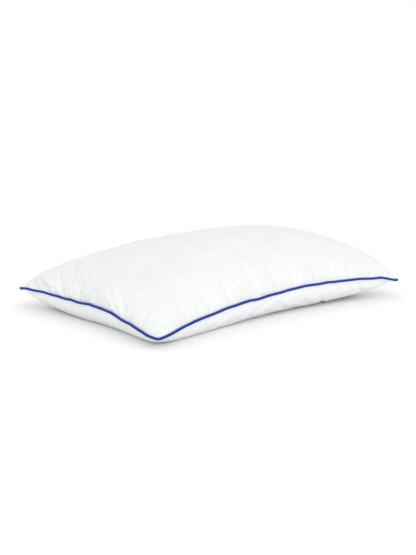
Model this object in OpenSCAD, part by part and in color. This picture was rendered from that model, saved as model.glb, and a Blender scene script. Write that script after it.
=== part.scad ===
// Bed pillow lying on its underside: a striped top panel and a plain bottom panel, sewn together
// over a corded piping and filled with loose fibre.
// Millimetres. The origin is on the floor under the middle of the pillow, +X runs along its length
// and +Z is up. The near side is -Y and the left end is -X.

/* [Outline] */
// Length over the piping
pillow_l = 702; // [600:1:900]
// Width over the piping
pillow_w = 484; // [400:1:600]
// Corner radius of the two panels
corner_r = 34; // [18:1:40]
// How far the filling draws in the middle of each long side
side_pull = 27; // [0:1:40]
// How far the filling draws in the middle of each short side
end_pull = 12; // [0:1:30]

/* [Filled shape] */
// Rise of the top above the seam, at the middle
crown_h = 76; // [60:1:100]
// Depth of the underside below the seam, at the middle, if no floor held it up
belly_h = 90; // [85:1:120]
// How square the top is along its length
crown_length_power = 3.3; // [2.2:0.1:4]
// How square the top is across its width
crown_width_power = 2.4; // [2:0.1:3.5]
// Steepness of the top next to the seam, where 0.5 is an ellipse and less is steeper
crown_side_power = 0.4; // [0.35:0.01:0.6]
// How square the underside is along its length
belly_length_power = 3.6; // [2.2:0.1:4]
// How square the underside is across its width
belly_width_power = 2.8; // [2:0.1:3.5]
// Steepness of the underside next to the seam
belly_side_power = 0.52; // [0.35:0.01:0.6]

/* [Seam height] */
// Height of the seam at the near left corner
near_left_z = 21; // [10:1:30]
// Height of the seam at the near right corner
near_right_z = 43; // [10:1:45]
// Height of the seam at the far left corner
far_left_z = 42; // [10:1:45]
// Height of the seam at the far right corner
far_right_z = 42; // [10:1:45]
// Extra height in the middle of the near long side
near_rise = 27; // [15:1:35]
// Extra height in the middle of the far long side
far_rise = 11; // [10:1:30]
// Extra height in the middle of the left short side
left_rise = 16; // [10:1:30]
// Extra height in the middle of the right short side
right_rise = 26; // [10:1:30]
// Height of the waves in the seam along the left short side
left_wave = 2.5; // [0:0.5:4]

/* [Cloth] */
// Thickness of each panel
cloth_t = 0.8; // [0.6:0.1:1.2]
// Width of the seam allowance turned inside
allowance_w = 10; // [8:1:12]
// Free space between pieces that lie on each other
ply_gap = 0.3; // [0.2:0.05:0.5]

/* [Piping] */
// Diameter over the piping
piping_d = 5; // [3.6:0.1:6]
// Thickness of the bias strip round the cord
strip_t = 0.4; // [0.3:0.05:0.5]
// Diameter of the cord inside the piping
cord_d = 3.4; // [2:0.1:3.4]

/* [Sewing] */
// Diameter of the sewing thread
thread_d = 0.6; // [0.4:0.1:0.8]
// Diameter of the overlocked edge of the seam allowance
overlock_d = 1.6; // [1.2:0.1:2]
// Length of the opening in the right end that is sewn up after filling
opening_l = 200; // [120:10:260]
// Length of one stitch along the closed opening, gap included
stitch_pitch = 5; // [4:0.5:8]

/* [Filling] */
// Free space between the filling and the panels
fill_gap = 2; // [1:0.5:5]

/* [Care label] */
// Width of the label along the far seam
label_w = 32; // [20:1:50]
// Length that hangs below the seam
label_h = 26; // [15:1:35]
// Thickness of the folded label
label_t = 0.7; // [0.5:0.1:1]
// Place of the label's middle along the far seam
label_x = 235; // [-250:5:250]

/* [Hidden] */

corner_steps = 4;
long_steps = 19;
short_steps = 13;
ring_steps = 12;
fill_rings = 8;
arc_steps = 8;
halvings = 24;
// Power that crowds the rings towards the seam, where the panels are steep
ring_power = 2.2;
// Power that keeps the rounding of the corners near the seam
corner_power = 8;
// Waves along the left side, in degrees: at the far corner and over each half of the side
wave_start = -40;
wave_turn = 310;
// Power that keeps those waves near the left side
wave_power = 8;
// The underside is cut off at the floor from a form that goes this much lower
floor_cut = 5;

crown_powers = [crown_length_power, crown_width_power, crown_side_power];
belly_powers = [belly_length_power, belly_width_power, belly_side_power];

piping_r = piping_d / 2;
// Outward distance from the seam line to the middle of the cord
cord_out = piping_r + ply_gap;
half_l = pillow_l / 2 - cord_out - piping_r;
half_w = pillow_w / 2 - cord_out - piping_r;
// Half the slit between the two legs of the bias strip
slit_half = 0.1;
// Height of the top panel's edge above the middle of the seam
edge_z = slit_half + strip_t + ply_gap;
allowance_top_z = edge_z + cloth_t;
thread_in = 2;
thread_z = allowance_top_z + ply_gap + thread_d / 2;
overlock_in = allowance_w + overlock_d / 2 + ply_gap;
fill_in = overlock_in + overlock_d / 2 + fill_gap;
// The opening's stitches show just above the piping
closing_z = piping_r + 2;
closing_out = ply_gap + thread_d / 2;

function mix(a, b, t) = a + (b - a) * t;

// The outline is a list of [point, outward normal], counter-clockwise from the middle of an end
function corner(sx, sy, start) = [
    for (i = [0 : corner_steps])
        let (a = start + 90 * i / corner_steps, n = [cos(a), sin(a)])
        [[sx * (half_l - corner_r), sy * (half_w - corner_r)] + corner_r * n, n]
];
function side(a, b, steps) = [for (i = [1 : steps - 1]) [mix(a[0], b[0], i / steps), a[1]]];
corners = [corner(1, 1, 0), corner(-1, 1, 90), corner(-1, -1, 180), corner(1, -1, 270)];
outline = [
    for (i = [0 : 3])
        let (steps = i % 2 == 0 ? long_steps : short_steps, next = corners[(i + 1) % 4][0])
        each concat(corners[i], side(corners[i][corner_steps], next, steps))
];

// Place on a square from -1 to 1 both ways whose rim is the whole outline, for ring r of point p
function on_square(p, r) =
    let (q = [p.x / half_l, p.y / half_w])
    mix(q, q / max(abs(q.x), abs(q.y)), r ^ corner_power) * r;

function seam_z(q) =
    let (along = (q.x + 1) / 2, across = (q.y + 1) / 2)
    mix(mix(near_left_z, near_right_z, along), mix(far_left_z, far_right_z, along), across)
    + (1 - q.x ^ 2) * mix(near_rise, far_rise, across)
    + (1 - q.y ^ 2) * mix(left_rise, right_rise, along)
    + left_wave * cos(wave_start + wave_turn * (1 - q.y)) * (1 - along) ^ wave_power;

function swell(q, powers) =
    max(0, (1 - abs(q.x) ^ powers[0]) * (1 - abs(q.y) ^ powers[1])) ^ powers[2];

// Plan position at ring r of the outline (1 is the seam, 0 the middle), inset inside the seam
function plan(e, r, inset) =
    let (q = on_square(e[0], r), p = (e[0] - inset * e[1]) * r)
    [p.x * (1 - end_pull / half_l * (1 - q.y ^ 2)), p.y * (1 - side_pull / half_w * (1 - q.x ^ 2))];

function seam_point(e, out, up) =
    let (p = plan(e, 1, -out))
    [p.x, p.y, seam_z(on_square(e[0], 1)) + up];

function upper_point(e, r, inset, drop) =
    let (q = on_square(e[0], r), p = plan(e, r, inset))
    [p.x, p.y, seam_z(q) + edge_z + (crown_h - drop) * swell(q, crown_powers)];

function hanging_z(q, drop) =
    seam_z(q) - edge_z - (belly_h - drop) * swell(q, belly_powers);

function lower_point(e, r, inset, drop, floor_z) =
    let (q = on_square(e[0], r), p = plan(e, r, inset))
    [p.x, p.y, max(floor_z, hanging_z(q, drop))];

// Ring at which the underside comes down to a height, found by halving the interval
function ring_at(p, z, lo, hi, n) =
    n == 0 ? lo
    : let (mid = (lo + hi) / 2) hanging_z(on_square(p, mid), 0) > z ? ring_at(p, z, lo, mid, n - 1)
    : ring_at(p, z, mid, hi, n - 1);
floor_rings = [for (e = outline) ring_at(e[0], 0, 0, 1, halvings)];
cut_rings = [for (e = outline) ring_at(e[0], -floor_cut, 0, 1, halvings)];

function upper_ring(k, steps, inset, drop) =
    let (r = 1 - (k / steps) ^ ring_power)
    [for (e = outline) upper_point(e, r, inset, drop)];

function lower_ring(k, steps, inset, drop, floor_z) = [
    for (i = [0 : len(outline) - 1])
        let (last = floor_z < 0 ? cut_rings[i] : floor_rings[i])
        let (r = 1 - (1 - last) * (k / steps) ^ ring_power)
        let (p = lower_point(outline[i], r, inset, drop, floor_z))
        [p.x, p.y, k == steps ? floor_z : p.z]
];

function seam_ring(out, up) = [for (e = outline) seam_point(e, out, up)];

// Closed skin through a list of rings, from the point start to the point end
module skin(rings, start, end) {
    n = len(rings[0]);
    last = len(rings) - 1;
    points = concat([start], [for (ring = rings) each ring], [end]);
    polyhedron(points, concat(
        [for (i = [0 : n - 1]) [0, 1 + (i + 1) % n, 1 + i]],
        [
            for (k = [0 : last - 1], i = [0 : n - 1])
                let (a = 1 + k * n, b = a + n, j = (i + 1) % n)
                each [[a + i, a + j, b + j], [a + i, b + j, b + i]]
        ],
        [for (i = [0 : n - 1]) [1 + last * n + i, 1 + last * n + (i + 1) % n, len(points) - 1]]
    ));
}

// Closed hoop that carries one section, a loop of [outward, up], along the whole outline
module seam_hoop(section) {
    m = len(section);
    n = len(outline);
    points = [for (e = outline, s = section) seam_point(e, s.x, s.y)];
    polyhedron(points, [
        for (i = [0 : n - 1], k = [0 : m - 1])
            let (a = i * m, b = (i + 1) % n * m, j = (k + 1) % m)
            each [[a + k, a + j, b + j], [a + k, b + j, b + k]]
    ]);
}

function disc(r, out, up, steps) = [
    for (i = [0 : steps - 1])
        let (a = 360 * i / steps)
        [out + r * cos(a), up + r * sin(a)]
];

// Arc about the cord from the angle from to the angle to, 180 being towards the seam
function cord_arc(r, from, to) = [
    for (i = [0 : arc_steps])
        let (a = mix(from, to, i / arc_steps))
        [cord_out + r * cos(a), r * sin(a)]
];

module rod(a, b, d) {
    v = b - a;
    translate(a)
        rotate([0, acos(v.z / norm(v)), atan2(v.y, v.x)])
            cylinder(h = norm(v), d = d, $fn = 16);
}

module top_panel() {
    color([0.95, 0.97, 0.97])
        skin(
            concat(
                [for (k = [ring_steps - 1 : -1 : 0]) upper_ring(k, ring_steps, 0, 0)],
                [seam_ring(-allowance_w, edge_z), seam_ring(-allowance_w, allowance_top_z)],
                [seam_ring(-cloth_t, allowance_top_z)],
                [for (k = [1 : ring_steps - 1]) upper_ring(k, ring_steps, cloth_t, cloth_t)]
            ),
            upper_point(outline[0], 0, 0, 0),
            upper_point(outline[0], 0, cloth_t, cloth_t)
        );
}

module bottom_panel() {
    color([0.90, 0.91, 0.94])
        difference() {
            skin(
                concat(
                    [for (k = [ring_steps : -1 : 1]) lower_ring(k, ring_steps, cloth_t, cloth_t, cloth_t)],
                    [seam_ring(-cloth_t, -allowance_top_z), seam_ring(-allowance_w, -allowance_top_z)],
                    [seam_ring(-allowance_w, -edge_z)],
                    [for (k = [0 : ring_steps]) lower_ring(k, ring_steps, 0, 0, -floor_cut)]
                ),
                [0, 0, cloth_t],
                [0, 0, -floor_cut]
            );
            translate([-pillow_l, -pillow_w, -3 * floor_cut])
                cube([2 * pillow_l, 2 * pillow_w, 3 * floor_cut]);
        }
}

// Bias strip folded round the cord, its two legs lying in the seam
module piping_cover() {
    leg_z = slit_half + strip_t;
    outer_a = 180 - asin(leg_z / piping_r);
    inner_a = 180 - asin(slit_half / (piping_r - strip_t));
    color([0.13, 0.22, 0.62])
        seam_hoop(concat(
            [[-allowance_w, leg_z], [-allowance_w, slit_half]],
            cord_arc(piping_r - strip_t, inner_a, -inner_a),
            [[-allowance_w, -slit_half], [-allowance_w, -leg_z]],
            cord_arc(piping_r, -outer_a, outer_a)
        ));
}

module piping_cord() {
    color("ivory") seam_hoop(disc(cord_d / 2, cord_out, 0, arc_steps));
}

module fill() {
    color("snow")
        skin(
            concat(
                [for (k = [fill_rings - 1 : -1 : 0]) upper_ring(k, fill_rings, fill_in, fill_gap + cloth_t)],
                [
                    for (k = [0 : fill_rings])
                        lower_ring(k, fill_rings, fill_in, fill_gap + cloth_t, cloth_t + ply_gap)
                ]
            ),
            upper_point(outline[0], 0, fill_in, fill_gap + cloth_t),
            [0, 0, cloth_t + ply_gap]
        );
}

module needle_thread() {
    color("white") seam_hoop(disc(thread_d / 2, -thread_in, thread_z, 4));
}

module bobbin_thread() {
    color("white") seam_hoop(disc(thread_d / 2, -thread_in, -thread_z, 4));
}

// Threads that bind the raw edges of the seam allowance
module overlock_thread() {
    color("whitesmoke") seam_hoop(disc(overlock_d / 2, -overlock_in, 0, 6));
}

// Row of stitches that closes the right end after filling
module closing_thread() {
    thread_part = 0.7;
    color("white")
        for (y = [-opening_l / 2 : stitch_pitch : opening_l / 2 - stitch_pitch])
            rod(
                seam_point([[half_l, y], [1, 0]], closing_out, closing_z),
                seam_point([[half_l, y + thread_part * stitch_pitch], [1, 0]], closing_out, closing_z),
                thread_d
            );
}

// Blank folded label that hangs from the far seam against the bottom panel
module care_label() {
    columns = 4;
    rows = 6;
    m = columns + 1;
    layers = [ply_gap * 2, ply_gap * 2 + label_t];
    top_r = 0.99;
    low_r = top_r - label_h / half_w * 0.7;
    points = [
        for (layer = layers, i = [0 : rows], j = [0 : columns])
            let (x = label_x + label_w * (j / columns - 0.5), r = mix(top_r, low_r, i / rows))
            lower_point([[x / r, half_w], [0, 1]], r, -layer, -layer, 0)
    ];
    s = m * (rows + 1);
    rim = concat(
        [for (j = [0 : columns - 1]) [j, j + 1]],
        [for (i = [0 : rows - 1]) [i * m + columns, (i + 1) * m + columns]],
        [for (j = [columns : -1 : 1]) [rows * m + j, rows * m + j - 1]],
        [for (i = [rows : -1 : 1]) [i * m, (i - 1) * m]]
    );
    color("whitesmoke")
        polyhedron(points, concat(
            [
                for (i = [0 : rows - 1], j = [0 : columns - 1])
                    let (a = i * m + j, b = a + m)
                    each [[a, a + 1, b + 1], [a, b + 1, b], [s + a, s + b + 1, s + a + 1], [s + a, s + b, s + b + 1]]
            ],
            [for (e = rim) each [[e[0], s + e[1], e[1]], [e[0], s + e[0], s + e[1]]]]
        ));
}

top_panel();
bottom_panel();
piping_cover();
piping_cord();
fill();
needle_thread();
bobbin_thread();
overlock_thread();
closing_thread();
care_label();
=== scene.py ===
import math

import bpy
import numpy as np
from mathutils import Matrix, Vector, noise
from mathutils.bvhtree import BVHTree


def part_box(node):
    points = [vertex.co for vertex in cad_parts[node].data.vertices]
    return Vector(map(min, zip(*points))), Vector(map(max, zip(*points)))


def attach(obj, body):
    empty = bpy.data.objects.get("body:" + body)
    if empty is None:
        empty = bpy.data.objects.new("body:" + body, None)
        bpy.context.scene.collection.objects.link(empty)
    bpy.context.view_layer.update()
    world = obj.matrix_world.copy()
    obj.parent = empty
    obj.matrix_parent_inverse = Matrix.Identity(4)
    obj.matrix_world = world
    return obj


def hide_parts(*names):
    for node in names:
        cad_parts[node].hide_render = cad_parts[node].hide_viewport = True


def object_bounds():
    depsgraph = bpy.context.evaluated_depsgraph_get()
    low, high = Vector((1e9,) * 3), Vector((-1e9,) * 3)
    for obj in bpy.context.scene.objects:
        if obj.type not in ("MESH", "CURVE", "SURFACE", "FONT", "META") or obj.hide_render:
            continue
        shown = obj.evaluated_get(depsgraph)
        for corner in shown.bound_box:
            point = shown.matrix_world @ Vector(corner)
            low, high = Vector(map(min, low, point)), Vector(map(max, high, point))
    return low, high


# A bed pillow: two sewn panels, a corded piping in the seam, threads, a filling and a label. Metres.
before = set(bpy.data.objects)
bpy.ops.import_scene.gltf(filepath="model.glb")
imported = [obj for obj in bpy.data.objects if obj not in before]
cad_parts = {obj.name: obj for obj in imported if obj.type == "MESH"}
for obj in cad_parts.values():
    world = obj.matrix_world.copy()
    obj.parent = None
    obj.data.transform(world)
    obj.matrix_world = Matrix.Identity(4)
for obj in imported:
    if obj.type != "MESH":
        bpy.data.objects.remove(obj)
cad_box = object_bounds()

# ---- View, in degrees and metres ----
CAMERA_AZIMUTH = -41.54
CAMERA_ELEVATION = 11.16
CAMERA_DISTANCE = 2.376
CAMERA_TARGET = (-0.0081, 0.0072, 0.0544)
LENS_MM = 71.85

# ---- Light, with angles in degrees ----
KEY_AZIMUTH = -28
KEY_ELEVATION = 28
KEY_SPREAD = 70
KEY_STRENGTH = 1.1
KEY_DISTANCE = 3.0
WORLD_STRENGTH = 1.0

# ---- Sizes, in metres ----
# The two panels as cut, seam allowance left out, and the rounding of their corners
CUT_L = 0.750
CUT_W = 0.500
CUT_CORNER_R = 0.022
ALLOWANCE_W = 0.010
TOP_T = 0.0006
BOTTOM_T = 0.0004
# How many times their thickness the panels gain beside the seam, and over what distance that fades
SEAM_PLUMP = 3.0
SEAM_PLUMP_IN = 0.012
# Where the inner face meets the seam allowance, in thicknesses of the cloth from the seam
INNER_EDGE_IN = 3.0
INNER_EDGE_UP = 0.3

PIPING_R = 0.0025
STRIP_T = 0.0004
CORE_R = 0.0017
# Half of the slit between the two legs of the bias strip
SLIT_HALF = 0.0001
LEG_Z = SLIT_HALF + STRIP_T

# The near side is where the seam is beyond this share of its half width. Along it, the piping hangs slack
# between two puckers and is pulled up at a third, and the tip beyond that hangs
NEAR_FROM = 0.8
SLACK_X = (-0.118, 0.019)
SLACK_H = 0.0028
PULLED_X = 0.275
PULLED_W = 0.05
PULLED_H = 0.0018
TIP_H = 0.0045
TIP_R = 0.035
# On the two sides away from the viewer, the piping drops next to the tips
BEHIND_H = 0.005
BEHIND_R = 0.045
# All round, it sags a little between small pinches
PINCH_H = 0.0030
PINCHES_PER_M = 20.0

LABEL_L = 0.026
LABEL_W = 0.032
LABEL_T = 0.00012

# Heights of the panels' folded edges over and under the seam; the label's two layers fit in below it
PLY_GAP = 0.0001
TOP_EDGE_Z = LEG_Z + PLY_GAP
BOTTOM_EDGE_Z = 0.0014

RIB_PITCH = 0.0180
RIB_H = 0.0006
RIB_FADE_IN = 0.012
# How the ribs waver: how far in ribs, over what length across the pillow, and radians gained a metre along it
RIB_WAVERS = ((0.10, 0.210, 9), (0.05, 0.083, 31))
# The ribs' height everywhere and the part that comes and goes, and a power below 1 that rounds them
RIB_EVEN = 0.78
RIB_UNEVEN = 0.22
RIB_ROUNDING = 0.8

THREAD_R = 0.0002
STITCH = 0.004
STITCH_IN = 0.002
CLOSING_L = 0.200
CLOSING_IN = 0.0045

FILL_IN = 0.017
FILL_DEPTH = 0.95
FILL_LUMP = 0.0012
FILL_LUMPS_PER_M = 45.0

# ---- Cloth settling ----
# Cells along the length at the coarsest level; each further level has twice as many
COARSE_CELLS = 60
LEVEL_STEPS = ((2500, 600, 300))
JITTER = 0.0002
JITTER_SEED = 3
DRAG = 0.985
# The shape before the filling presses: how square it is along and across, how far the top swells up, as a
# share of the crown's height over the seam, and how far the underside swells down, to the floor at most
START_POWERS = (3, 2.4)
START_RISE = 0.95
START_DROP = 0.11
# For the top and the underside: how hard the filling presses, and within how far of the form that it wants to
# take up, which the CAD panels show, the pressing lets off
PRESSURE = (0.0066, 0.0200)
GIVE = (0.010, 0.005)
SMOOTHING_PASSES = 60
# How much of the folds stays when the cloth has been smoothed by hand: at the short ends and elsewhere
KEPT_AT_ENDS = (0.70, 0.28)
KEPT = (0.32, 0.28)
KEPT_R = 0.075
# How far the top and the underside are then patted back towards their form, and how far from the seam fully
PATTED = (0.15, 0.95)
PATTED_IN = 0.012
# Beside the seam, how steeply the panels at least leave it, and how far in from it
CLEAR_SLOPE = 1.1
CLEAR_IN = 0.004
FORM_CELL = 0.005
# The top puffs up a little more inside its corners
EAR_IN = 0.035
EAR_R = 0.030
EAR_H = 0.012
# Ties between grid neighbours: step along, step across, how stiffly each is pulled and pushed
TIES = (
    (1, 0, 1.0, 0.15),
    (0, 1, 1.0, 0.15),
    (1, 1, 0.5, 0.075),
    (1, -1, 0.5, 0.075),
    (2, 0, 0.03, 0.03),
    (0, 2, 0.03, 0.03),
)
SIDES = np.array([1.0, -1.0], np.float32)[:, None, None]
ALL = slice(None)
UP = np.array([0.0, 0.0, 1.0])


def direction(azimuth, elevation):
    """The unit vector towards a viewer. Azimuth 0 looks along +Y, and angles are in degrees."""
    a, e = math.radians(azimuth), math.radians(elevation)
    return Vector((math.sin(a) * math.cos(e), -math.cos(a) * math.cos(e), math.sin(e)))


# ---- Curves ----
def lengths(points):
    """Distance along an open line at each of its points."""
    return np.r_[0, np.cumsum(np.linalg.norm(np.diff(points, axis=0), axis=1))]


def at_lengths(points, wanted):
    """Points of an open line at those distances along it."""
    s = lengths(points)
    return np.stack([np.interp(wanted, s, points[:, k]) for k in range(points.shape[1])], 1)


def loop_length(points):
    return lengths(np.vstack([points, points[:1]]))[-1]


def even_loop(points, count):
    """A closed curve as that many evenly spaced points."""
    closed = np.vstack([points, points[:1]])
    return at_lengths(closed, np.arange(count) * loop_length(points) / count)


def outward(points):
    """The horizontal unit vectors that point out of a closed curve that runs counter-clockwise."""
    along = np.roll(points, -1, 0) - np.roll(points, 1, 0)
    out = np.stack([along[:, 1], -along[:, 0], 0 * along[:, 0]], 1)
    return out / np.linalg.norm(out, axis=1)[:, None]


def smooth_loop(points, pieces):
    """A closed curve through the points, with that many pieces between each two."""
    after, later, before = np.roll(points, -1, 0), np.roll(points, -2, 0), np.roll(points, 1, 0)
    length = np.linalg.norm(after - points, axis=1)[:, None]
    start = (after - before) / (np.roll(length, 1, 0) + length) * length
    end = (later - points) / (length + np.roll(length, -1, 0)) * length
    t = (np.arange(pieces) / pieces)[None, :, None]
    curve = (
        (2 * t**3 - 3 * t**2 + 1) * points[:, None]
        + (t**3 - 2 * t**2 + t) * start[:, None]
        + (3 * t**2 - 2 * t**3) * after[:, None]
        + (t**3 - t**2) * end[:, None]
    )
    return curve.reshape(-1, 3)


def hanging(line):
    """The cord's line as it hangs between its puckers on the near side, and at the two tips."""
    x, y = line[:, 0], line[:, 1]
    near = y < -NEAR_FROM * y.max()
    part = np.clip((x - SLACK_X[0]) / (SLACK_X[1] - SLACK_X[0]), 0, 1)
    lift = near * (PULLED_H * np.exp(-abs(x - PULLED_X) / PULLED_W) - SLACK_H * np.sin(math.pi * part))
    from_right, from_left = (
        np.linalg.norm(line[:, :2] - line[tip, :2], axis=1) for tip in (np.argmax(x - y), np.argmax(y - x))
    )
    lift -= TIP_H * np.exp(-((from_right / TIP_R) ** 2))
    behind = np.clip(2 * outward(line) @ direction(CAMERA_AZIMUTH + 180, 0), 0, 1)
    lift -= BEHIND_H * behind * np.exp(-((np.minimum(from_right, from_left) / BEHIND_R) ** 2))
    lift -= PINCH_H * abs(np.array([noise.noise(Vector(p * PINCHES_PER_M)) for p in line]))
    return line + lift[:, None] * UP


def cord_line():
    """Centre line of the piping cord, read from the rings of the CAD cord, counter-clockwise."""
    sides, pieces = 8, 16
    points = np.array([v.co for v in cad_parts["piping_cord"].data.vertices])
    points = np.unique(np.round(points, 6), axis=0)
    half = points.max(0)
    turn = np.arctan2(points[:, 1] / half[1], points[:, 0] / half[0])
    rings = points[np.argsort(turn)].reshape(-1, sides, 3).mean(1)
    return hanging(smooth_loop(rings, pieces))


CORD = cord_line()
SEAM = CORD - outward(CORD) * PIPING_R


# ---- Panels as grids ----
def seam_sides(nx, ny):
    """The seam as the near, far, left and right sides of a grid, from corner to corner."""
    half = SEAM.max(0)
    corner = [
        int(np.argmax(sx * SEAM[:, 0] / half[0] + sy * SEAM[:, 1] / half[1]))
        for sx, sy in ((-1, -1), (1, -1), (1, 1), (-1, 1))
    ]

    def side(first, last, cells):
        count = (corner[last] - corner[first]) % len(SEAM)
        line = SEAM[(corner[first] + np.arange(count + 1)) % len(SEAM)]
        return at_lengths(line, np.linspace(0, lengths(line)[-1], cells + 1))

    return side(0, 1, nx), side(2, 3, nx)[::-1], side(3, 0, ny)[::-1], side(1, 2, ny)


def cut_sides(nx, ny):
    """The same sides on the flat cut, a rectangle with rounded corners."""

    def side(length, cells):
        arc = CUT_CORNER_R * math.pi / 4
        total = length - 2 * CUT_CORNER_R + 2 * arc
        s = np.linspace(0, total, cells + 1)
        first = np.clip(arc - s, 0, None) / CUT_CORNER_R
        last = np.clip(s - (total - arc), 0, None) / CUT_CORNER_R
        straight = np.clip(s, arc, total - arc) - arc + CUT_CORNER_R - length / 2
        along = straight + CUT_CORNER_R * (np.sin(last) - np.sin(first))
        return along, CUT_CORNER_R * (1 - np.cos(first + last))

    x, dy = side(CUT_L, nx)
    y, dx = side(CUT_W, ny)
    return (
        np.stack([x, dy - CUT_W / 2], 1),
        np.stack([x, CUT_W / 2 - dy], 1),
        np.stack([dx - CUT_L / 2, y], 1),
        np.stack([CUT_L / 2 - dx, y], 1),
    )


def patch(near, far, left, right):
    """The grid that fills four sides smoothly (a Coons patch)."""
    u = np.linspace(0, 1, len(near))[:, None, None]
    v = np.linspace(0, 1, len(left))[None, :, None]
    across = (1 - v) * near[:, None] + v * far[:, None]
    along = (1 - u) * left[None] + u * right[None]
    corners = (1 - v) * ((1 - u) * near[0] + u * near[-1]) + v * ((1 - u) * far[0] + u * far[-1])
    return across + along - corners


def pin_rim(grids, rim):
    grids[:, 0], grids[:, -1] = rim[0], rim[-1]
    grids[:, :, 0], grids[:, :, -1] = rim[:, 0], rim[:, -1]


def pin_to_seam(grids):
    """Puts the edges of the grids on the seam."""
    pin_rim(grids, patch(*seam_sides(grids.shape[1] - 1, grids.shape[2] - 1)))


def find_ties(cut):
    """Each tie as the places of its two ends, its rest length on the cut, and how hard it pulls and pushes.
    They come in sets in which no point occurs twice, so that a whole set moves at once."""
    nx, ny = cut.shape[:2]
    found = []
    for di, dj, pull, push in TIES:
        first = (slice(0, nx - di), slice(max(0, -dj), ny - max(0, dj)))
        second = (slice(di, nx), slice(max(0, dj), ny + min(0, dj)))
        rest = np.linalg.norm(cut[second] - cut[first], axis=-1)
        every = 2 * max(di, dj)
        for start in range(every):
            part = slice(start, None, every)
            part = (part, ALL) if di else (ALL, part)
            found.append(((ALL, *first), (ALL, *second), (ALL, *part), rest[part], pull, push))
    return found


def tighten(points, ties):
    for first, second, part, rest, pull, push in ties:
        a, b = points[first][part], points[second][part]
        gap = b - a
        length = np.sqrt((gap**2).sum(-1)) + 1e-9
        share = (length - rest) / length
        gap *= (np.where(share > 0, pull, push) * share / 2)[..., None]
        a += gap
        b -= gap


class Form:
    """The heights of the CAD's two panels over the floor, on a square lattice. Beside the pillow they go on
    at the height of the seam."""

    def __init__(self):
        lo, hi = SEAM.min(0) - FORM_CELL, SEAM.max(0) + FORM_CELL
        self.start = lo[:2]
        counts = np.ceil((hi - lo)[:2] / FORM_CELL).astype(int) + 1
        # Just short of the last points, so that every place has a next one
        self.last = counts - 1.001
        lattice = lo[:2] + FORM_CELL * np.stack(np.meshgrid(*map(np.arange, counts), indexing="ij"), -1)
        nodes = (("top_panel", 1.0), ("bottom_panel", -1.0))
        self.heights = np.stack([self.seen(node, side, lattice) for node, side in nodes]).astype(np.float32)
        from_ear = ((abs(lattice) - (SEAM.max(0)[:2] - EAR_IN)) ** 2).sum(-1)
        self.heights[0] += EAR_H * np.exp(-from_ear / EAR_R**2)

    def seen(self, node, side, lattice):
        """The heights of the panel as seen from above, or from below where side is -1."""
        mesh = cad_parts[node].data
        tree = BVHTree.FromPolygons([v.co for v in mesh.vertices], [p.vertices for p in mesh.polygons])
        heights = np.empty(lattice.shape[:2])
        for at in np.ndindex(heights.shape):
            x, y = lattice[at]
            hit = tree.ray_cast(Vector((x, y, side)), Vector((0, 0, -side)))[0]
            nearest = np.argmin((SEAM[:, 0] - x) ** 2 + (SEAM[:, 1] - y) ** 2)
            heights[at] = hit.z if hit else SEAM[nearest, 2]
        return heights

    def at(self, points):
        """Heights of the top's form at the first grid's points, and of the underside's at the second's."""
        place = np.clip((points[..., :2] - self.start) / FORM_CELL, 0, self.last)
        i, j = np.moveaxis(place.astype(int), -1, 0)
        a, b = np.moveaxis(place - place.astype(int), -1, 0)
        k = np.arange(2)[:, None, None]
        h = self.heights
        return (h[k, i, j] * (1 - a) + h[k, i + 1, j] * a) * (1 - b) + (
            h[k, i, j + 1] * (1 - a) + h[k, i + 1, j + 1] * a
        ) * b


def face_vectors(points):
    """Vectors out of the pillow at each point, four times as long as a cell's area."""
    along, across = np.zeros_like(points), np.zeros_like(points)
    along[:, 1:-1] = points[:, 2:] - points[:, :-2]
    across[:, :, 1:-1] = points[:, :, 2:] - points[:, :, :-2]
    return SIDES[..., None] * np.cross(along, across)


def settle(points, cut, form, steps):
    """Lets the filling press the cloth out until the ties hold it, on the floor and with the seam held."""
    ties = find_ties(cut.astype(np.float32))
    rim = points[0].copy()
    speed = np.zeros_like(points)
    pressure, give = (np.array(pair, np.float32)[:, None, None] for pair in (PRESSURE, GIVE))
    for _ in range(steps):
        left = SIDES * (form.at(points) - points[..., 2]) / give
        press = pressure * np.clip(left, -1, 1)
        speed = DRAG * (speed + press[..., None].astype(np.float32) * face_vectors(points))
        before = points.copy()
        points += speed
        tighten(points, ties)
        pin_rim(points, rim)
        np.maximum(points[..., 2], 0, out=points[..., 2])
        speed = points - before


def from_rim(nx, ny, cell):
    """Distance from each point of a grid to its nearest edge."""
    i = np.minimum(np.arange(nx), np.arange(nx)[::-1])[:, None]
    j = np.minimum(np.arange(ny), np.arange(ny)[::-1])[None]
    return cell * np.minimum(i, j)


def keep_clear(points, from_seam):
    """Makes both panels leave the seam on their own sides of it, and keeps them on the floor."""
    nx, ny = points.shape[1:3]
    seam_z = patch(*seam_sides(nx - 1, ny - 1))[..., 2]
    clear = CLEAR_SLOPE * np.minimum(from_seam, CLEAR_IN)
    np.maximum(points[0, ..., 2], seam_z + clear, out=points[0, ..., 2])
    np.minimum(points[1, ..., 2], seam_z - clear, out=points[1, ..., 2])
    np.maximum(points[..., 2], 0, out=points[..., 2])


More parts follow.
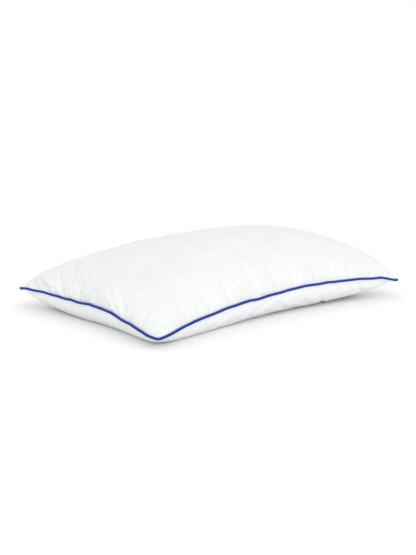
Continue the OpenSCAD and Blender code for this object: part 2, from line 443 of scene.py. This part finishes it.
def smooth_by_hand(points, form):
    """Pats the pillow into shape and softens its folds, most in the middle."""
    soft = points.copy()
    for _ in range(SMOOTHING_PASSES):
        middle = soft[:, :-2, 1:-1] + soft[:, 2:, 1:-1] + soft[:, 1:-1, :-2] + soft[:, 1:-1, 2:]
        soft[:, 1:-1, 1:-1] = middle / 4
    folds = points - soft
    nx, ny = points.shape[1:3]
    from_seam = from_rim(nx, ny, CUT_L / (nx - 1))
    patted = np.array(PATTED)[:, None, None] * np.clip(from_seam / PATTED_IN, 0, 1)
    soft[..., 2] += patted * (form.at(soft) - soft[..., 2])
    from_end = SEAM[:, 0].max() - abs(points[..., 0])
    ends, rest = (np.array(pair)[:, None, None] for pair in (KEPT_AT_ENDS, KEPT))
    kept = rest + (ends - rest) * np.exp(-((from_end / KEPT_R) ** 2))
    smoothed = soft + kept[..., None] * folds
    keep_clear(smoothed, from_seam)
    return smoothed


def refine(points, axis):
    """Twice as many cells along one axis of the grids, with cubic curves through the points."""
    a = np.moveaxis(points, axis, 0)
    longer = np.concatenate([2 * a[:1] - a[1:2], a, 2 * a[-1:] - a[-2:-1]])
    out = np.empty((2 * len(a) - 1, *a.shape[1:]), a.dtype)
    out[::2] = a
    out[1::2] = (9 * (longer[1:-2] + longer[2:-1]) - longer[:-3] - longer[3:]) / 16
    return np.moveaxis(out, 0, axis)


def inflated_panels():
    """The top and the underside as two grids of points in one array."""
    rng = np.random.default_rng(JITTER_SEED)
    form = Form()
    nx, ny = COARSE_CELLS, COARSE_CELLS * 2 // 3
    seam = patch(*seam_sides(nx, ny))
    u = np.linspace(-1, 1, nx + 1)[:, None]
    v = np.linspace(-1, 1, ny + 1)[None]
    swell = np.sqrt((1 - abs(u) ** START_POWERS[0]) * (1 - abs(v) ** START_POWERS[1]))
    points = np.stack([seam, seam]).astype(np.float32)
    points[0, ..., 2] += START_RISE * (cad_box[1].z - seam[nx // 2, ny // 2, 2]) * swell
    points[1, ..., 2] = np.maximum(0, points[1, ..., 2] - START_DROP * swell)
    for level, steps in enumerate(LEVEL_STEPS):
        if level:
            nx, ny = 2 * nx, 2 * ny
            points = refine(refine(points, 1), 2)
        pin_to_seam(points)
        points[:, 1:-1, 1:-1] += rng.normal(0, JITTER, (2, nx - 1, ny - 1, 3))
        settle(points, patch(*cut_sides(nx, ny)), form, steps)
    return smooth_by_hand(points.astype(float), form)


def grid_normals(points):
    up = np.cross(np.gradient(points, axis=0), np.gradient(points, axis=1))
    return up / np.linalg.norm(up, axis=-1)[..., None]


# ---- Meshes ----
def make_piece(name, points, face_sets, **corner_uvs):
    """A smooth mesh piece. Each face set is an array of faces with the same number of corners, and each UV
    map has a point for every corner of every face, in order."""
    faces = [face for faces in face_sets for face in faces.tolist()]
    mesh = bpy.data.meshes.new(name)
    mesh.from_pydata(points.tolist(), [], faces)
    mesh.polygons.foreach_set("use_smooth", np.ones(len(mesh.polygons), bool))
    for map_name, uv in corner_uvs.items():
        layer = mesh.uv_layers.new(name=map_name)
        layer.data.foreach_set("uv", uv.astype(np.float32).ravel())
    mesh.update()
    piece = bpy.data.objects.new(name, mesh)
    bpy.context.scene.collection.objects.link(piece)
    return piece


def at_corners(point_uv, face_sets):
    """UVs for the corners of the faces, from those of the points."""
    return point_uv[np.concatenate([faces.ravel() for faces in face_sets])]


def grid_faces(nx, ny, start=0):
    """Quads of a grid of nx by ny points, facing up where the points run along X and then Y."""
    i = start + np.arange(nx * ny).reshape(nx, ny)
    return np.stack([i[:-1, :-1], i[1:, :-1], i[1:, 1:], i[:-1, 1:]], -1).reshape(-1, 4)


def rim_of(nx, ny):
    """Places of a grid's edge points, counter-clockwise from above."""
    i = np.arange(nx * ny).reshape(nx, ny)
    return np.concatenate([i[:-1, 0], i[-1, :-1], i[:0:-1, -1], i[0, :0:-1]])


def strip_faces(first, second):
    """Quads between two closed loops with the same number of points."""
    return np.stack([first, second, np.roll(second, -1), np.roll(first, -1)], 1)


def half_strip_faces(first, second):
    """Faces with five corners between a closed loop and one with half as many points."""
    even, odd = first[::2], first[1::2]
    return np.stack([odd, even, second, np.roll(second, -1), np.roll(even, -1)], 1)


def carried(section, line, closed=True):
    """Points, faces and UVs of a section carried along a line. section holds its points at each point of the
    line, counter-clockwise as seen with the outside to the right."""
    n, m = section.shape[:2]
    points = line[:, None] + section
    i = np.arange(n * m).reshape(n, m)
    after = np.roll(i, -1, 0)
    faces = np.stack([after, np.roll(after, -1, 1), np.roll(i, -1, 1), i], -1)
    s = lengths(np.vstack([line, line[:1]]))
    r = lengths(np.vstack([section[0], section[0][:1]]))
    u, v = np.meshgrid(s, r, indexing="ij")
    uv = np.stack([u, v], -1)
    uv = np.stack([uv[1:, :-1], uv[1:, 1:], uv[:-1, 1:], uv[:-1, :-1]], -2)
    if not closed:
        faces, uv = faces[:-1], uv[:-1]
    return points.reshape(-1, 3), faces.reshape(-1, 4), uv.reshape(-1, 2)


def tube_along(line, section):
    """A section of (outward, up) points carried round a closed line."""
    out = outward(line)
    return carried(section[None, :, :1] * out[:, None] + section[None, :, 1:] * UP, line)


def thread_along(line, radius, sides=4, closed=True):
    """A round thread along a line of any shape."""
    if closed:
        along = np.roll(line, -1, 0) - np.roll(line, 1, 0)
    else:
        along = np.gradient(line, axis=0)
    along /= np.linalg.norm(along, axis=1)[:, None]
    side = np.cross(along, (0.12, 0.08, 1.0))
    side /= np.linalg.norm(side, axis=1)[:, None]
    top = np.cross(side, along)
    turn = 2 * math.pi * np.arange(sides) / sides
    ring = np.cos(turn)[:, None] * side[:, None] + np.sin(turn)[:, None] * top[:, None]
    return carried(radius * ring, line, closed)


def tube_piece(name, *tubes):
    """A piece made of tubes, each given as its points, faces and UVs."""
    starts = np.cumsum([0] + [len(points) for points, _, _ in tubes[:-1]])
    points = np.vstack([points for points, _, _ in tubes])
    face_sets = [faces + start for (_, faces, _), start in zip(tubes, starts)]
    return make_piece(name, points, face_sets, Cloth=np.vstack([uv for _, _, uv in tubes]))


# ---- The pillow's pieces ----
def rib_profile(cut):
    """The cross ribs at each point of the cut, in ribs from the middle and in height from 0 to 1: rounded
    bands with a narrow valley between them, which waver a little and fade out at the seam."""
    x, y = cut[..., 0], cut[..., 1]
    waver = sum(shift * np.sin(2 * math.pi * y / length + lean * x) for shift, length, lean in RIB_WAVERS)
    along = x / RIB_PITCH + waver
    edge = np.minimum(CUT_L / 2 - abs(x), CUT_W / 2 - abs(y))
    # Two slow waves at a slant, in radians a metre, make them stand out more in some patches
    strength = RIB_EVEN + RIB_UNEVEN * np.sin(14 * x + 9 * y) * np.sin(23 * y - 8 * x)
    height = strength * np.clip(edge / RIB_FADE_IN, 0, 1) * abs(np.sin(math.pi * along)) ** RIB_ROUNDING
    return np.stack([along, height], -1)


def inner_face(outer, edge, thickness, side):
    """The inner face of a panel, with cells twice as large as the outer one's. So it keeps well clear of that
    beside the seam, where both turn."""
    cell = np.linalg.norm(outer[1] - outer[0], axis=-1).max()
    from_seam = from_rim(*outer.shape[:2], cell)[..., None]
    depth = thickness * (1 + SEAM_PLUMP * np.exp(-from_seam / SEAM_PLUMP_IN))
    inner = (outer - depth * side * grid_normals(outer))[::2, ::2].copy()
    from_edge = INNER_EDGE_IN * outward(edge) - INNER_EDGE_UP * side * UP
    inner.reshape(-1, 3)[rim_of(*inner.shape[:2])] = edge - thickness * from_edge
    return inner


def panel_faces(outer_shape, inner_shape, side):
    """The faces of a panel: its outer face, the seam allowance's lower face, end and upper face, and its
    inner face. The points come in that order, with a loop for each edge of the allowance's end."""
    rim, inner_rim = rim_of(*outer_shape), rim_of(*inner_shape)
    loop = outer_shape[0] * outer_shape[1] + np.arange(len(inner_rim))
    inner_start = loop[0] + 2 * len(loop)
    face_sets = [
        grid_faces(*outer_shape),
        half_strip_faces(rim, loop),
        strip_faces(loop, loop + len(loop)),
        strip_faces(loop + len(loop), inner_start + inner_rim),
        grid_faces(*inner_shape, inner_start)[:, ::-1],
    ]
    return face_sets if side > 0 else [faces[:, ::-1] for faces in face_sets]


def panel_piece(name, grid, cut, thickness, side, edge_z, ribs=None):
    """One panel as cloth with a thickness and its seam allowance turned inside. side is 1 for the top and -1
    for the underside. ribs is the rib profile, if it has one."""
    up = side * UP
    outer = grid.copy()
    rim = rim_of(*outer.shape[:2])
    outer.reshape(-1, 3)[rim] += edge_z * up
    edge = outer.reshape(-1, 3)[rim[::2]]
    inner = inner_face(outer, edge, thickness, side)
    face_end = edge - ALLOWANCE_W * outward(edge)
    points = np.vstack([outer.reshape(-1, 3), face_end, face_end + thickness * up, inner.reshape(-1, 3)])
    face_sets = panel_faces(outer.shape[:2], inner.shape[:2], side)
    flat = cut.reshape(-1, 2)
    flat_edge = flat[rim[::2]]
    flat_end = flat_edge + ALLOWANCE_W * outward(np.c_[flat_edge, 0 * flat_edge[:, 0]])[:, :2]
    uv = np.vstack([flat, flat_end, flat_end, cut[::2, ::2].reshape(-1, 2)])
    maps = {"Cloth": at_corners(uv, face_sets)}
    if ribs is not None:
        inner_ribs = ribs[::2, ::2].reshape(-1, 2)
        rib_uv = np.vstack([ribs.reshape(-1, 2), 0 * flat_end, 0 * flat_end, inner_ribs])
        maps["Ribs"] = at_corners(rib_uv, face_sets)
    return make_piece(name, points, face_sets, **maps)


def ribbed_top(panel):
    """The top panel with finer cells across its ribs and the ribs raised on it, its cut and its ribs'
    profile."""
    grid = refine(panel, 0)
    pin_to_seam(grid[None])
    cut = patch(*cut_sides(grid.shape[0] - 1, grid.shape[1] - 1))
    ribs = rib_profile(cut)
    return grid + RIB_H * ribs[..., 1:] * grid_normals(grid), cut, ribs


def piping_strip():
    """The bias strip folded round the cord, its two legs lying in the seam."""
    rings, outer_count, inner_count = 1200, 15, 11
    outer_turn = math.pi - math.asin(LEG_Z / PIPING_R)
    inner_turn = math.pi - math.asin(SLIT_HALF / (PIPING_R - STRIP_T))
    outer_arc = np.linspace(-outer_turn, outer_turn, outer_count)
    inner_arc = np.linspace(inner_turn, -inner_turn, inner_count)
    end = -PIPING_R - ALLOWANCE_W
    section = np.vstack(
        [
            [(end, LEG_Z), (end, SLIT_HALF)],
            (PIPING_R - STRIP_T) * np.stack([np.cos(inner_arc), np.sin(inner_arc)], 1),
            [(end, -SLIT_HALF), (end, -LEG_Z)],
            PIPING_R * np.stack([np.cos(outer_arc), np.sin(outer_arc)], 1),
        ]
    )
    return tube_piece("piping_strip", tube_along(even_loop(CORD, rings), section))


def piping_core():
    """Three strands twisted together, inside the strip."""
    strands, turns, per_turn = 3, 240, 6
    line = even_loop(CORD, turns * per_turn)
    out = outward(line)
    strand_r = CORE_R * 0.46
    parts = []
    for k in range(strands):
        turn = 2 * math.pi * (k / strands + np.arange(len(line)) / per_turn)
        offset = np.cos(turn)[:, None] * out + np.sin(turn)[:, None] * UP
        parts.append(thread_along(line + (CORE_R - strand_r) * offset, strand_r, 6))
    return tube_piece("piping_core", *parts)


def lock_stitches(name, height):
    """One of the lockstitch's two threads. It lies at that height over the seam, and dips towards it in each
    hole, over a narrow stretch as the power is high."""
    per_stitch, dip_depth, dip_power = 6, 0.8, 6
    count = round(loop_length(SEAM) / STITCH)
    line = even_loop(SEAM, count * per_stitch)
    dip = np.cos(math.pi * np.arange(len(line)) / per_stitch) ** dip_power
    line = line - STITCH_IN * outward(line) + (height * (1 - dip_depth * dip))[:, None] * UP
    return tube_piece(name, thread_along(line, THREAD_R))


def overlock_stitches():
    """Loops that wrap the raw edges of the allowances."""
    per_loop = 10
    loop_in = ALLOWANCE_W - 0.0012
    loop_half_w = 0.0018
    loop_half_h = BOTTOM_EDGE_Z + TOP_T + 2 * THREAD_R
    count = round(loop_length(SEAM) / STITCH)
    line = even_loop(SEAM, count * per_loop)
    turn = 2 * math.pi * np.arange(len(line)) / per_loop
    inward = loop_in + loop_half_w * np.cos(turn)
    line = line - inward[:, None] * outward(line) + (loop_half_h * np.sin(turn))[:, None] * UP
    return tube_piece("overlock_stitches", thread_along(line, THREAD_R))


def closing_stitches(top):
    """The row of stitches on the top panel, beside the piping, that closes the right end. Each shows on part
    of its length, bows up in the middle and sinks in at its ends, both in thread radii."""
    shown, bow_h, sunk, rings = 0.78, 1.6, 0.5, 7
    middle_y = top.shape[1] // 2
    cell = np.linalg.norm(top[-1, middle_y] - top[-2, middle_y])
    row = -1 - round(CLOSING_IN / cell)
    line, lift = top[row], grid_normals(top)[row]
    s = lengths(line)
    parts = []
    for start in np.arange((s[-1] - CLOSING_L) / 2, (s[-1] + CLOSING_L) / 2, STITCH):
        at = np.linspace(start, start + shown * STITCH, rings)
        bow = np.sin(np.linspace(0, math.pi, len(at)))
        up = np.stack([np.interp(at, s, lift[:, k]) for k in range(3)], 1)
        stitch = at_lengths(line, at) + up * (THREAD_R * (bow_h * bow - sunk))[:, None]
        parts.append(thread_along(stitch, THREAD_R, 6, closed=False))
    return tube_piece("closing_stitches", *parts)


def fibre_fill(panels):
    """The loose filling, as the lumpy form that it takes up inside the panels. Its lumps have their full
    height from where it is full_at deep, and its two faces are moved out by lift."""
    roughness, finer, octaves = 0.7, 2.1, 4
    full_at, lift = 0.01, 0.001
    grids = panels[:, ::2, ::2].copy()
    half = abs(grids[0, ..., :2]).max((0, 1))
    middle = grids[..., 2].mean(0)
    depth = grids[0, ..., 2] - middle
    grids[..., :2] *= 1 - FILL_IN / half
    grids[..., 2] = middle + FILL_DEPTH * (grids[..., 2] - middle)
    for side, grid in zip((1, -1), grids):
        flat = grid.reshape(-1, 3)
        lumps = [noise.fractal(Vector(p * FILL_LUMPS_PER_M), roughness, finer, octaves) for p in flat]
        size = FILL_LUMP * np.clip(depth.ravel() / full_at, 0, 1) * lumps
        grid += side * grid_normals(grid) * size.reshape(grid.shape[:2])[..., None]
        grid[..., 2] += side * lift
    count = grids.shape[1] * grids.shape[2]
    rim = rim_of(*grids.shape[1:3])
    face_sets = [
        grid_faces(*grids.shape[1:3]),
        grid_faces(*grids.shape[1:3], count)[:, ::-1],
        strip_faces(rim, rim + count),
    ]
    return make_piece("fibre_fill", grids.reshape(-1, 3), face_sets)


def care_label():
    """A blank satin label, folded once, caught in the far seam under the piping."""
    columns, rows, curl_h = 17, 60, 0.0012
    lo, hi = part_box("care_label")
    middle = (lo.x + hi.x) / 2
    far = SEAM[SEAM[:, 1] > 0]
    far = far[np.argsort(far[:, 0])]
    x = np.linspace(middle - LABEL_W / 2, middle + LABEL_W / 2, columns)
    root = np.stack([np.interp(x, far[:, 0], far[:, k]) for k in range(3)], 1)
    # How the outer layer runs, outwards and up from the seam, in mm: out of the seam, round its edge and down
    run = [(-8, -0.66), (-0.6, -0.66), (-0.1, -0.74), (0.17, -1.08), (0.45, -1.5), (0.8, -2.2), (1.1, -3.4)]
    run += [(1.7, -8), (2.2, -14), (2.2, -20), (1.6, -LABEL_L * 1000)]
    run = np.array(run) / 1000
    outer = at_lengths(run, np.linspace(0, lengths(run)[-1], rows))
    along = np.gradient(outer, axis=0)
    along /= np.linalg.norm(along, axis=1)[:, None]
    back = outer + 1.5 * LABEL_T * np.stack([along[:, 1], -along[:, 0]], 1)
    fold = (outer[-1] + back[-1]) / 2 + LABEL_T * along[-1]
    path = np.vstack([outer, fold[None], back[::-1]])
    across = np.gradient(path, axis=0)
    across = np.stack([-across[:, 1], across[:, 0]], 1)
    across *= LABEL_T / 2 / np.linalg.norm(across, axis=1)[:, None]
    curl = curl_h * ((x - middle) / (LABEL_W / 2)) ** 2

    def layer(line):
        points = root[:, None] + np.zeros((1, len(line), 1))
        drop = np.clip(-line[:, 1] / LABEL_L, 0, 1)
        points[..., 1] += line[:, 0] + curl[:, None] * drop
        points[..., 2] += line[:, 1]
        return points

    front, rear = layer(path + across), layer(path - across)
    count = front.shape[0] * front.shape[1]
    rim = rim_of(*front.shape[:2])
    face_sets = [
        grid_faces(*front.shape[:2])[:, ::-1],
        grid_faces(*front.shape[:2], count),
        strip_faces(rim, rim + count)[:, ::-1],
    ]
    u, v = np.meshgrid(x - middle, lengths(path), indexing="ij")
    uv = np.stack([u, v], -1).reshape(-1, 2)
    points = np.vstack([front.reshape(-1, 3), rear.reshape(-1, 3)])
    return make_piece("label", points, face_sets, Cloth=at_corners(np.vstack([uv, uv]), face_sets))


# ---- Materials ----
class Shader:
    """A material under construction. Values are numbers, colours or the outputs of its other nodes."""

    def __init__(self, name, values):
        self.material = bpy.data.materials.new(name)
        self.material.use_nodes = True
        self.tree = self.material.node_tree
        self.surface = self.tree.nodes["Principled BSDF"]
        self.put(self.surface, values)

    def put(self, node, values):
        for socket, value in values.items():
            if isinstance(value, bpy.types.NodeSocket):
                self.tree.links.new(value, node.inputs[socket])
            else:
                node.inputs[socket].default_value = value

    def node(self, kind, values, **settings):
        made = self.tree.nodes.new("ShaderNode" + kind)
        for setting, value in settings.items():
            setattr(made, setting, value)
        self.put(made, values)
        return made

    def maths(self, operation, *values):
        return self.node("Math", dict(enumerate(values)), operation=operation).outputs[0]

    def uv(self, map_name="Cloth"):
        """The two coordinates of a UV map."""
        at = self.node("UVMap", {}, uv_map=map_name).outputs["UV"]
        return self.node("SeparateXYZ", {"Vector": at}).outputs[:2]

    def noise(self, scale, detail=2.0):
        """Cloudy values between 0 and 1. scale is in clouds a metre."""
        at = self.node("TexCoord", {}).outputs["Object"]
        return self.node("TexNoise", {"Vector": at, "Scale": scale, "Detail": detail}).outputs["Fac"]

    def wave(self, along, pitch):
        """A sine along a coordinate, with that pitch in metres."""
        return self.maths("SINE", self.maths("MULTIPLY", along, 2 * math.pi / pitch))

    def weave(self, u, v, pitch):
        """A plain weave's crossings, from 0 between the yarns to 1 on them."""
        crossed = self.maths("MULTIPLY", self.wave(u, 2 * pitch), self.wave(v, 2 * pitch))
        return self.maths("ABSOLUTE", crossed)

    def mix(self, factor, low, high):
        """A colour from low to high as the factor goes from 0 to 1."""
        made = self.node("Mix", {"Factor": factor}, data_type="RGBA")
        self.put(made, {6: (*low, 1), 7: (*high, 1)})
        return made.outputs[2]

    def spread(self, value, low, high, to_low=0.0, to_high=1.0):
        """A value from low to high, spread over another range."""
        return self.node("MapRange", {0: value, 1: low, 2: high, 3: to_low, 4: to_high}).outputs[0]

    def bump(self, height, distance, under=None):
        """A bump of that many metres, on top of another one."""
        values = {"Height": height, "Distance": distance}
        if under:
            values["Normal"] = under
        return self.node("Bump", values).outputs["Normal"]

    def finish(self, **values):
        self.put(self.surface, {name.replace("_", " "): value for name, value in values.items()})
        return self.material


def ribbed_cloth():
    """Cool white brushed microfibre: soft nap on the ribs, flat weave in the valleys, and painted shade that
    makes the valleys a touch darker.
    """
    made = Shader("ribbed_cloth", {"Sheen Weight": 0.15, "Sheen Roughness": 0.5, "Specular IOR Level": 0.25})
    u, v = made.uv()
    rib_height = made.uv("Ribs")[1]
    # The rib height sets the roughness, and the colour with painted shade: darker in the valleys, lighter on
    # the rib tops.
    valley_shaded_tone = made.mix(rib_height, (0.742, 0.755, 0.752), (0.772, 0.783, 0.780))
    cloud = made.spread(made.noise(14.0), 0.3, 0.7, 0.96, 1.0)
    colour = made.node("Mix", {"Factor": 1.0}, data_type="RGBA", blend_type="MULTIPLY")
    made.put(colour, {6: valley_shaded_tone, 7: cloud})
    weave = made.bump(made.weave(u, v, 0.0005), 0.00006)
    brushed = made.bump(made.noise(900.0, 3.0), 0.00012, weave)
    rough = made.spread(rib_height, 0.0, 1.0, 0.62, 0.88)
    return made.finish(Base_Color=colour.outputs[2], Roughness=rough, Normal=brushed)


def plain_cloth():
    """Plain white microfibre, a touch greyer than the top."""
    made = Shader("plain_cloth", {"Sheen Weight": 0.1, "Sheen Roughness": 0.4, "Specular IOR Level": 0.3})
    u, v = made.uv()
    colour = made.mix(made.spread(made.noise(18.0), 0.3, 0.7), (0.805, 0.814, 0.824), (0.830, 0.838, 0.848))
    weave = made.weave(u, v, 0.0004)
    slack = made.bump(made.noise(60.0), 0.0004, made.bump(weave, 0.00005))
    rough = made.spread(weave, 0.0, 1.0, 0.7, 0.8)
    return made.finish(Base_Color=colour, Roughness=rough, Normal=slack)


def piping_cloth():
    """Royal blue plain weave, cut on the bias, so that its yarns run slantwise."""
    made = Shader("piping_cloth", {"Sheen Weight": 0.05, "Specular IOR Level": 0.25})
    u, v = made.uv()
    weave = made.weave(made.maths("ADD", u, v), made.maths("SUBTRACT", u, v), 0.0005)
    shade = made.maths("MULTIPLY", weave, made.spread(made.noise(120.0), 0.2, 0.8, 0.6, 1.0))
    colour = made.mix(shade, (0.002, 0.018, 0.19), (0.006, 0.050, 0.41))
    return made.finish(Base_Color=colour, Roughness=0.7, Normal=made.bump(weave, 0.00008))


def twisted_yarn(name, dark, light, pitch, values):
    """A spun yarn or cord, with its fibres running slantwise round it."""
    made = Shader(name, values)
    u, v = made.uv()
    slant = made.maths("ADD", u, made.maths("MULTIPLY", v, 1.2))
    twist = made.spread(made.wave(slant, pitch), -1.0, 1.0)
    colour = made.mix(made.maths("MULTIPLY", twist, made.noise(700.0)), dark, light)
    return made.finish(Base_Color=colour, Normal=made.bump(twist, 0.0001))


def fibre():
    """Loose white hollow fibre."""
    made = Shader("fibre", {"Roughness": 0.95, "Sheen Weight": 0.4, "Specular IOR Level": 0.2})
    tufts = made.noise(160.0, 8.0)
    colour = made.mix(made.spread(tufts, 0.3, 0.7), (0.70, 0.70, 0.69), (0.86, 0.86, 0.85))
    return made.finish(Base_Color=colour, Normal=made.bump(tufts, 0.002))


def label_satin():
    """Blank white satin, with fine ribs and a heat-cut band along its two edges."""
    made = Shader("label_satin", {"Specular IOR Level": 0.6, "Sheen Weight": 0.1})
    u, v = made.uv()
    ribs = made.spread(made.wave(u, 0.0004), -1.0, 1.0)
    band = made.spread(made.maths("ABSOLUTE", u), LABEL_W / 2 - 0.0012, LABEL_W / 2 - 0.0009)
    colour = made.mix(band, (0.84, 0.84, 0.83), (0.74, 0.74, 0.74))
    rough = made.spread(ribs, 0.0, 1.0, 0.34, 0.46)
    return made.finish(Base_Color=colour, Roughness=rough, Normal=made.bump(ribs, 0.00004))


def studio_white():
    made = Shader("studio_white", {"Roughness": 1.0, "Specular IOR Level": 0.0})
    colour = made.mix(made.noise(3.0), (0.90, 0.90, 0.90), (0.91, 0.91, 0.91))
    return made.finish(Base_Color=colour)


# ---- Stage, light and camera ----
def add_floor():
    """A wide round sweep of pale floor."""
    rings, sides, radius = 12, 64, 14.0
    turn = 2 * math.pi * np.arange(sides) / sides
    reach = radius * (np.arange(1, rings + 1) / rings) ** 2
    x, y = np.outer(reach, np.cos(turn)), np.outer(reach, np.sin(turn))
    points = np.stack([x, y, np.zeros((rings, sides))], -1)
    i = np.arange(rings * sides).reshape(rings, sides)
    quads = [strip_faces(i[k + 1], i[k]) for k in range(rings - 1)]
    floor = make_piece("floor", points.reshape(-1, 3), [i[:1], np.vstack(quads)])
    floor.data.materials.append(studio_white())


def aim(obj, at, target):
    obj.location = at
    obj.rotation_euler = (Vector(target) - Vector(at)).to_track_quat("-Z", "Y").to_euler()


def add_key(azimuth, elevation, spread, strength):
    """A wide soft light from far away, so that it doesn't fall off over the floor."""
    data = bpy.data.lights.new("key", "SUN")
    data.angle = math.radians(spread)
    data.energy = strength
    lamp = bpy.data.objects.new("key", data)
    bpy.context.scene.collection.objects.link(lamp)
    aim(lamp, direction(azimuth, elevation) * KEY_DISTANCE, (0, 0, 0))


def add_world(strength):
    world = bpy.data.worlds.new("studio")
    world.use_nodes = True
    background = world.node_tree.nodes["Background"]
    background.inputs["Color"].default_value = (1, 1, 1, 1)
    background.inputs["Strength"].default_value = strength
    bpy.context.scene.world = world


def add_camera():
    data = bpy.data.cameras.new("camera")
    data.sensor_width = 36.0
    data.lens = LENS_MM
    data.clip_end = 100.0
    camera = bpy.data.objects.new("camera", data)
    bpy.context.scene.collection.objects.link(camera)
    target = Vector(CAMERA_TARGET)
    aim(camera, target + direction(CAMERA_AZIMUTH, CAMERA_ELEVATION) * CAMERA_DISTANCE, target)
    bpy.context.scene.camera = camera


# ---- Assembly ----
def place(piece, material, slot, *nodes):
    """Gives a piece its material and lets it stand for the CAD nodes. The slot is not used."""
    piece.data.materials.append(material)
    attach(piece, "root")
    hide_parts(*nodes)


def build_pillow():
    panels = inflated_panels()
    top_grid, top_cut, ribs = ribbed_top(panels[0])
    nx, ny = panels.shape[1] - 1, panels.shape[2] - 1
    top = panel_piece("top_cloth", top_grid, top_cut, TOP_T, 1, TOP_EDGE_Z, ribs)
    bottom = panel_piece("bottom_cloth", panels[1], patch(*cut_sides(nx, ny)), BOTTOM_T, -1, BOTTOM_EDGE_Z)
    strip = piping_strip()
    core = piping_core()
    fill = fibre_fill(panels)
    needle = lock_stitches("needle_stitches", TOP_EDGE_Z + TOP_T + THREAD_R)
    bobbin = lock_stitches("bobbin_stitches", -(BOTTOM_EDGE_Z + BOTTOM_T + THREAD_R))
    overlock = overlock_stitches()
    closing = closing_stitches(top_grid)
    label = care_label()

    yarn = {"Roughness": 0.6, "Specular IOR Level": 0.4}
    thread = twisted_yarn("thread", (0.62, 0.62, 0.62), (0.84, 0.84, 0.84), 0.0008, yarn)
    cotton = twisted_yarn("cotton", (0.52, 0.47, 0.38), (0.78, 0.74, 0.64), 0.0015, {"Roughness": 0.9})
    place(top, ribbed_cloth(), "ribbed_cloth", "top_panel")
    place(bottom, plain_cloth(), "plain_cloth", "bottom_panel")
    place(strip, piping_cloth(), "piping_cloth", "piping_cover")
    place(core, cotton, "cord_cotton", "piping_cord")
    place(fill, fibre(), "fibre", "fill")
    place(needle, thread, "thread", "needle_thread")
    place(bobbin, thread, "thread", "bobbin_thread")
    place(overlock, thread, "thread", "overlock_thread")
    place(closing, thread, "thread", "closing_thread")
    place(label, label_satin(), "label_satin", "care_label")


build_pillow()
add_floor()
add_world(WORLD_STRENGTH)
add_key(KEY_AZIMUTH, KEY_ELEVATION, KEY_SPREAD, KEY_STRENGTH)
add_camera()
bpy.context.scene.view_settings.view_transform = "Standard"
